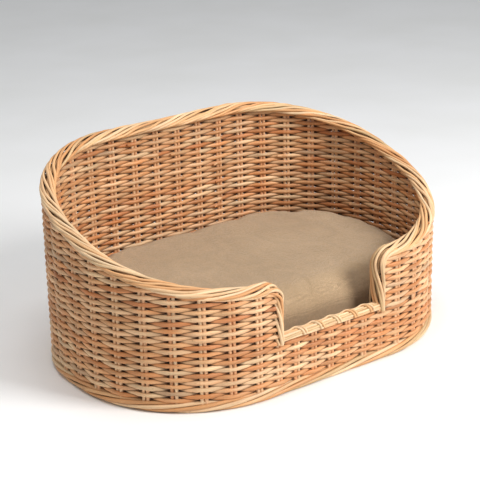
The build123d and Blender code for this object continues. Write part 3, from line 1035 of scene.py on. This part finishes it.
@dataclass
class Floor:
    """The basket's floor: a thick hoop, cross canes nailed to it, and a flat woven mat on top."""

    plan: Plan
    thick_finish: bpy.types.Material
    mat_finish: bpy.types.Material
    nail_finish: bpy.types.Material
    rib_gap: float = 38.0 * MM
    pitch: float = 6.9 * MM
    seed: int = 61

    def build(self) -> None:
        """Make the hoop, the cross canes and the mat, and dress the nails."""
        rng = np.random.default_rng(self.seed)
        low, high = box_of("base_hoop")
        radius = (high[2] - low[2]) / 2
        along = np.linspace(0, self.plan.around, 300, endpoint=False)
        inset = self.plan.half_length - high[0] + radius
        share = along / self.plan.around
        hoop = CaneBundle(sides=20)
        girth = radius * (1 - 0.012 * (1 + wander(share, rng, 3, 12)) + self.knuckles(along, 0.21))
        hoop.lay(self.plan.place(along, inset, (low[2] + high[2]) / 2), UP, girth, girth,
                 0.45, closed=True)
        settle(hoop.build("base_hoop_cane"), self.thick_finish, Body.BASKET, Slot.THICK,
               "base_hoop")
        self.cross_canes(rng)
        self.mat(rng)
        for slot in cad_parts["hoop_nails"].material_slots:
            slot.material = self.nail_finish

    @staticmethod
    def knuckles(along: Array, apart: float) -> Array:
        """Low swellings at the cane's joints: a bell at each whole multiple of their distance."""
        off = (np.mod(along / apart + 0.5, 1.0) - 0.5) * apart
        return 0.05 * np.exp(-(off / (4 * MM)) ** 2)

    def cross_canes(self, rng: np.random.Generator) -> None:
        """Nine canes from front to back, each ending in the hoop."""
        low, high = box_of("base_cross_canes")
        radius = (high[2] - low[2]) / 2
        bundle = CaneBundle(sides=16)
        count = 9
        places = np.linspace(low[0] + radius, high[0] - radius, count)
        for x in places:
            past = max(abs(x) - self.plan.corner_x, 0.0)
            hoop_radius = self.plan.radius - self.plan.wall - 8 * MM
            half = self.plan.corner_y + np.sqrt(hoop_radius ** 2 - past ** 2)
            y = np.linspace(-half, half, 110)
            path = np.stack([np.full(110, x), y, np.full(110, high[2] - radius * 1.02)], axis=-1)
            girth = radius * (0.99 + self.knuckles(y + rng.uniform(0, 0.2), 0.17)
                              - 0.02 * np.abs(wander(y * 0.5, rng, 1, 4)))
            bundle.lay(path, UP, girth, girth, rng.uniform(), rng.uniform(0, 60))
        settle(bundle.build("base_cross_canes_knotted"), self.thick_finish, Body.BASKET,
               Slot.THICK, "base_cross_canes")

    def mat(self, rng: np.random.Generator) -> None:
        """Flat splits woven over and under flat ribs; every end stops at the wall."""
        low, high = box_of("woven_base")
        middle = (low[2] + high[2]) / 2
        radius = self.plan.radius - self.plan.wall
        ribs = (np.arange(np.floor(high[0] / self.rib_gap) * 2 + 1)
                - np.floor(high[0] / self.rib_gap)) * self.rib_gap
        bundle = CaneBundle(sides=6)
        for x in ribs:
            past = max(abs(x) - self.plan.corner_x, 0.0)
            half = self.plan.corner_y + np.sqrt(radius ** 2 - past ** 2) - 2 * MM
            y = np.linspace(-half, half, 60)
            path = np.stack([np.full(60, x), y, np.full(60, middle)], axis=-1)
            bundle.lay(path, UP, 1.25 * MM, 3.6 * MM, rng.uniform(), rng.uniform(0, 60))
        count = int(2 * (high[1] - 4 * MM) / self.pitch)
        for number in range(count):
            y = (number - (count - 1) / 2) * self.pitch
            past = max(abs(y) - self.plan.corner_y, 0.0)
            half = self.plan.corner_x + np.sqrt(max(radius ** 2 - past ** 2, 0)) - 1 * MM
            x = np.arange(-half, half, 6.4 * MM)
            wave = np.cos(np.pi * (x / self.rib_gap + number))
            path = np.stack([x, np.full(len(x), y), middle + 2.85 * MM * wave], axis=-1)
            bundle.lay(path, UP, 1.55 * MM, 3.15 * MM, rng.uniform(), rng.uniform(0, 60))
        settle(bundle.build("floor_mat"), self.mat_finish, Body.BASKET, Slot.FLOOR, "woven_base")


# ---- cushion ------------------------------------------------------------------------------
@dataclass
class Cushion:
    """The loose cushion: a thick filled pad in a canvas cover, with a zip low at the back."""

    finish: bpy.types.Material
    skin: float = 7.0 * MM
    top_round: float = 44.0 * MM
    low_round: float = 18.0 * MM
    corner: float = 225.0 * MM
    voxel: float = 6.5 * MM
    swell: float = 9.0 * MM

    def build(self) -> None:
        """Form the pad, fill it, press its creases and its placket, and finish it."""
        piece = self.form()
        self.remesh(piece)
        self.fill(piece)
        self.rest_and_crease(piece)
        finer = piece.modifiers.new("finer", "SUBSURF")
        finer.levels = finer.render_levels = 1
        settle(piece, self.finish, Body.CUSHION, Slot.CLOTH, "cushion_filling", "cushion_cover",
               "cushion_underside")

    def form(self) -> bpy.types.Object:
        """A closed form: outlines stacked by a profile that rounds in at the top and bottom.

        Each ring is the rounded rectangle moved in by the profile, and over the top and the
        bottom it shrinks towards the middle.
        """
        high = box_of("cushion_cover")[1]
        under = box_of("cushion_underside")[0]
        base, top = under[2] + 1 * MM, high[2] - self.skin
        bend = np.linspace(0, np.pi / 2, 9)
        shrink = np.concatenate([np.linspace(0.03, 1, 14)[:-1], np.ones(9 + 12 + 9),
                                 np.linspace(1, 0.03, 14)[1:]])
        inset = np.concatenate([np.full(13, self.low_round), self.low_round * (1 - np.sin(bend)),
                                np.zeros(12), self.top_round * (1 - np.cos(bend)),
                                np.full(13, self.top_round)]) + self.skin
        rise = np.linspace(base + self.low_round, top - self.top_round, 14)[1:-1]
        z = np.concatenate([np.full(13, base), base + self.low_round * (1 - np.cos(bend)), rise,
                            top - self.top_round * (1 - np.sin(bend)), np.full(13, top)])
        outline = Plan(half_length=high[0], half_width=high[1],
                       corner_x=high[0] - self.corner, wall=0.0)
        along = np.linspace(0, outline.around, 240, endpoint=False)
        rings = np.stack([outline.place(along, move, height) * [size, size, 1]
                          for move, height, size in zip(inset, z, shrink)])
        corners, counts = ring_faces(len(z), len(along), False)
        return make_piece("cushion_pad", rings.reshape(-1, 3), corners, counts)

    def remesh(self, piece: bpy.types.Object) -> None:
        """Even faces all over."""
        even = piece.modifiers.new("even", "REMESH")
        even.mode = "VOXEL"
        even.voxel_size = self.voxel
        self.apply(piece)

    @staticmethod
    def apply(piece: bpy.types.Object) -> None:
        """Take the evaluated mesh and clear the modifiers."""
        graph = bpy.context.evaluated_depsgraph_get()
        mesh = bpy.data.meshes.new_from_object(piece.evaluated_get(graph))
        piece.modifiers.clear()
        piece.data = mesh
        mesh.name = piece.name
        mesh.shade_smooth()

    def fill(self, piece: bpy.types.Object) -> None:
        """Swell the pad with cloth under pressure, and cap how far each point has moved."""
        scene = bpy.context.scene
        before = vertex_points(piece.data)
        cloth = piece.modifiers.new("swell", "CLOTH")
        cloth.settings.quality = 4
        cloth.settings.use_pressure = True
        cloth.settings.uniform_pressure_force = 4.0
        cloth.settings.effector_weights.gravity = 0.0
        cloth.point_cache.frame_start = 1
        cloth.point_cache.frame_end = 20
        for number in range(1, 21):
            scene.frame_set(number)
        self.apply(piece)
        move = vertex_points(piece.data) - before
        size = np.linalg.norm(move, axis=1, keepdims=True)
        move *= np.minimum(1.0, self.swell / np.maximum(size, 1e-9))
        piece.data.vertices.foreach_set("co", (before + move).astype(np.float32).ravel())
        scene.frame_set(1)

    def rest_and_crease(self, piece: bpy.types.Object) -> None:
        """Lay the pad on the floor, give it soft dents and creases, and sink the placket.

        A crease moves points in along their normals by its depth times a bell of the distance
        from its line; a faint ripple of sines moves them in and out. The placket takes the back's
        points to its floor over the zip.
        """
        mesh = piece.data
        points = vertex_points(mesh)
        normals = np.empty(len(points) * 3, np.float32)
        mesh.vertex_normals.foreach_get("vector", normals)
        normals = normals.reshape(-1, 3).astype(float)
        low, high = box_of("cushion_cover")
        floor = box_of("cushion_underside")[0][2]
        front = low[1]
        creases = [  # start x, start z, end x, end z, depth and width, in millimetres
            (-88, 150, -112, 92, 4.2, 9), (-52, 142, -84, 96, 3.4, 8), (-8, 150, -44, 88, 4.4, 10),
            (40, 146, 4, 92, 3.6, 8), (80, 152, 56, 90, 4.0, 9), (112, 150, 98, 92, 3.4, 9),
            (-20, 136, 30, 128, 1.6, 10)]
        for x0, z0, x1, z1, depth, width in creases:
            start = np.array([x0 * MM, front, z0 * MM])
            way = np.array([x1 * MM, front, z1 * MM]) - start
            share = np.clip((points - start) @ way / (way @ way), 0, 1)
            far = np.linalg.norm(points - start - share[:, None] * way, axis=1)
            ease = np.sin(np.pi * np.clip(share, 0.04, 0.96)) ** 0.5
            dent = depth * MM * ease * np.exp(-(far / (width * MM)) ** 2)
            points -= dent[:, None] * normals
        x, y = points[:, 0], points[:, 1]
        roll = (np.sin(x * 17 + 1.1) * np.cos(y * 13 + 0.4) + np.sin(x * 31 - y * 23 + 2.0)
                + 0.6 * np.sin(x * 52 + y * 41 + points[:, 2] * 60))
        points += (0.55 * MM * roll)[:, None] * normals
        seam = box_of("zip_chain")
        seam_z = (seam[0][2] + seam[1][2]) / 2
        groove = 1.1 * MM * np.exp(-((points[:, 2] - seam_z) / (3.2 * MM)) ** 2)
        points -= (groove * (np.abs(normals[:, 2]) < 0.7))[:, None] * normals
        tapes_low, tapes_high = box_of("zip_tapes")
        over_x = smooth((tapes_high[0] + 9 * MM - np.abs(points[:, 0])) / (6 * MM))
        half = (tapes_high[2] - tapes_low[2]) / 2
        over_z = smooth((half + 8 * MM - np.abs(points[:, 2] - seam_z)) / (5 * MM))
        sunk = over_x * over_z * (points[:, 1] > 0.8 * high[1])
        points[:, 1] += sunk * (tapes_low[1] - 0.4 * MM - points[:, 1])
        points[:, 2] = np.maximum(points[:, 2], floor)
        mesh.vertices.foreach_set("co", points.astype(np.float32).ravel())
        mesh.update()


@dataclass
class Zip:
    """The cover's zip: two woven tapes, two nylon coils, a brass slider and its pull."""

    tape_finish: bpy.types.Material
    coil_finish: bpy.types.Material
    brass_finish: bpy.types.Material
    pitch: float = 1.5 * MM
    wire: float = 0.33 * MM

    def build(self) -> None:
        """Two coils in place of the plain chain, and finishes for the CAD tapes and metal."""
        low, high = box_of("zip_chain")
        middle = (low + high) / 2
        turns = int((high[0] - low[0]) / self.pitch)
        angle = np.linspace(0, TURN * turns, turns * 10)
        x = np.linspace(low[0] + self.wire, high[0] - self.wire, len(angle))
        half_deep = (high[1] - low[1]) / 2 - self.wire
        half_high = (high[2] - low[2]) / 4 - self.wire + 0.15 * MM
        bundle = CaneBundle(sides=5)
        for side in (-1, 1):
            turn = side * angle + (np.pi if side > 0 else 0)
            out = np.stack([0 * x, half_deep * np.sin(turn), half_high * np.cos(turn)], axis=-1)
            centre = np.array([0, middle[1], middle[2] + side * (half_high + 0.05 * MM)])
            path = x[:, None] * np.array([1, 0, 0]) + centre + out
            bundle.lay(path, np.array([1.0, 0.0, 0.0]), self.wire, self.wire, 0.5)
        settle(bundle.build("zip_coils"), self.coil_finish, Body.CUSHION, Slot.COIL, "zip_chain")
        for node, finish in (("zip_tapes", self.tape_finish), ("zip_slider", self.brass_finish),
                             ("zip_pull", self.brass_finish)):
            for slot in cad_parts[node].material_slots:
                slot.material = finish


# ---- studio -------------------------------------------------------------------------------
@dataclass
class Studio:
    """Plain pale floor, soft lights and the camera."""

    azimuth: float = -36.549
    elevation: float = 20.52
    distance: float = 2.885504
    lens: float = 109.781
    sideways: float = -7.632 * MM
    aim_height: float = 198.435 * MM
    roll: float = -1.22
    floor_size: float = 30.0
    sky_strength: float = 0.46
    display_gamma: float = 0.88

    def build(self) -> None:
        """Set up the floor, the sky, the lamps and the camera.

        The display gamma deepens the shade in a render; it is no part of any material.
        """
        scene = bpy.context.scene
        scene.view_settings.view_transform = "Standard"
        scene.view_settings.gamma = self.display_gamma
        self.floor()
        world = bpy.data.worlds.new("studio_sky")
        world.use_nodes = True
        sky = world.node_tree.nodes["Background"].inputs
        sky[0].default_value = (0.97, 0.985, 1.0, 1.0)
        sky[1].default_value = self.sky_strength
        scene.world = world
        self.lamp("key", (1.3, -2.5, 2.1), 1.2, 96)
        self.lamp("fill", (-2.4, -2.6, 1.4), 2.4, 2)
        self.lamp("top", (-0.4, -0.1, 2.9), 1.8, 34)
        self.camera()

    def floor(self) -> None:
        """A wide flat floor with a faint unevenness in its paint."""
        half = self.floor_size / 2
        points = np.array([[-half, -half, 0], [half, -half, 0], [half, half, 0], [-half, half, 0]],
                          float)
        floor = make_piece("studio_floor", points, np.arange(4), np.array([4]))
        board = NodeBoard("studio_paint")
        place = board.add("TexCoord").outputs["Object"]
        mottle = board.noise(board.stretch(place, (3, 3, 3)), 2.0)
        board.fill(board.shader, {
            "Base Color": board.blend(board.ease(mottle, 0.3, 0.7), linear(243, 243, 242),
                                      linear(247, 247, 247)),
            "Roughness": 0.75, "Specular IOR Level": 0.2})
        floor.data.materials.append(board.material)

    @staticmethod
    def lamp(name: str, place: tuple[float, float, float], size: float, power: float) -> None:
        """A square soft lamp that faces the basket's middle."""
        light = bpy.data.lights.new(name, "AREA")
        light.size, light.energy = size, power
        lamp = bpy.data.objects.new(name, light)
        aim = Vector((0, 0, 0.15)) - Vector(place)
        lamp.matrix_world = Matrix.Translation(place) @ aim.to_track_quat("-Z", "Y").to_matrix(
            ).to_4x4()
        bpy.context.scene.collection.objects.link(lamp)

    def camera(self) -> None:
        """Stand off along the view's direction from the aim point, with a slight roll."""
        turn, lift, roll = np.radians([self.azimuth, self.elevation, self.roll])
        back = np.array([np.sin(turn) * np.cos(lift), -np.cos(turn) * np.cos(lift), np.sin(lift)])
        right = np.array([np.cos(turn), np.sin(turn), 0.0])
        up = np.cross(back, right)
        place = self.sideways * right + self.aim_height * UP + self.distance * back
        axes = np.stack([np.cos(roll) * right + np.sin(roll) * up,
                         np.cos(roll) * up - np.sin(roll) * right, back, place], axis=-1)
        data = bpy.data.cameras.new("camera")
        data.lens, data.sensor_width = self.lens, 36.0
        camera = bpy.data.objects.new("camera", data)
        camera.matrix_world = Matrix([*axes.tolist(), [0.0, 0.0, 0.0, 1.0]])
        bpy.context.scene.collection.objects.link(camera)
        bpy.context.scene.camera = camera


def main() -> None:
    """Build the studio, the basket from its floor up, and the cushion with its zip."""
    logging.basicConfig(level=logging.INFO, format="%(name)s %(message)s")
    Studio().build()
    wall_cane = CaneFinish("wall_cane", WALL_TONES).material()
    border_cane = CaneFinish("border_cane", BORDER_TONES, streak=0.12, blotch=0.14, stain=0.3,
                             specks=0.3, roughness=0.38).material()
    stake_cane = CaneFinish("stake_cane", STAKE_TONES, streak=0.14, blotch=0.14,
                            stain=0.4).material()
    thick_cane = CaneFinish("thick_cane", BORDER_TONES, streak=0.3, blotch=0.24,
                            rise=0.0004).material()
    plan = Plan.measured()
    rim = RimLine.measured(plan)
    stakes = Stakes(plan, rim, stake_cane)
    stakes.build()
    Siding(plan, rim, stakes, wall_cane).build()
    Border(rim, border_cane, thick_cane).build()
    Sill(plan, rim, stakes, border_cane, thick_cane).build()
    Foot(plan, border_cane).build()
    Floor(plan, thick_cane, CaneFinish("mat_cane", WALL_TONES, roughness=0.55).material(),
          MetalFinish("nail_steel", (168, 168, 166), (98, 78, 60), 0.4).material()).build()
    Cushion(ClothFinish("canvas", (198, 170, 136), (190, 162, 128), 0.9 * MM,
                        seam=66.0 * MM).material()).build()
    Zip(ClothFinish("tape", (150, 126, 96), (140, 118, 90), 0.7 * MM, nap=0.1).material(),
        NylonFinish("coil_nylon", (140, 118, 90), (122, 102, 78)).material(),
        MetalFinish("old_brass", (176, 142, 84), (110, 84, 48), 0.34).material()).build()


if __name__ == "__main__":
    main()
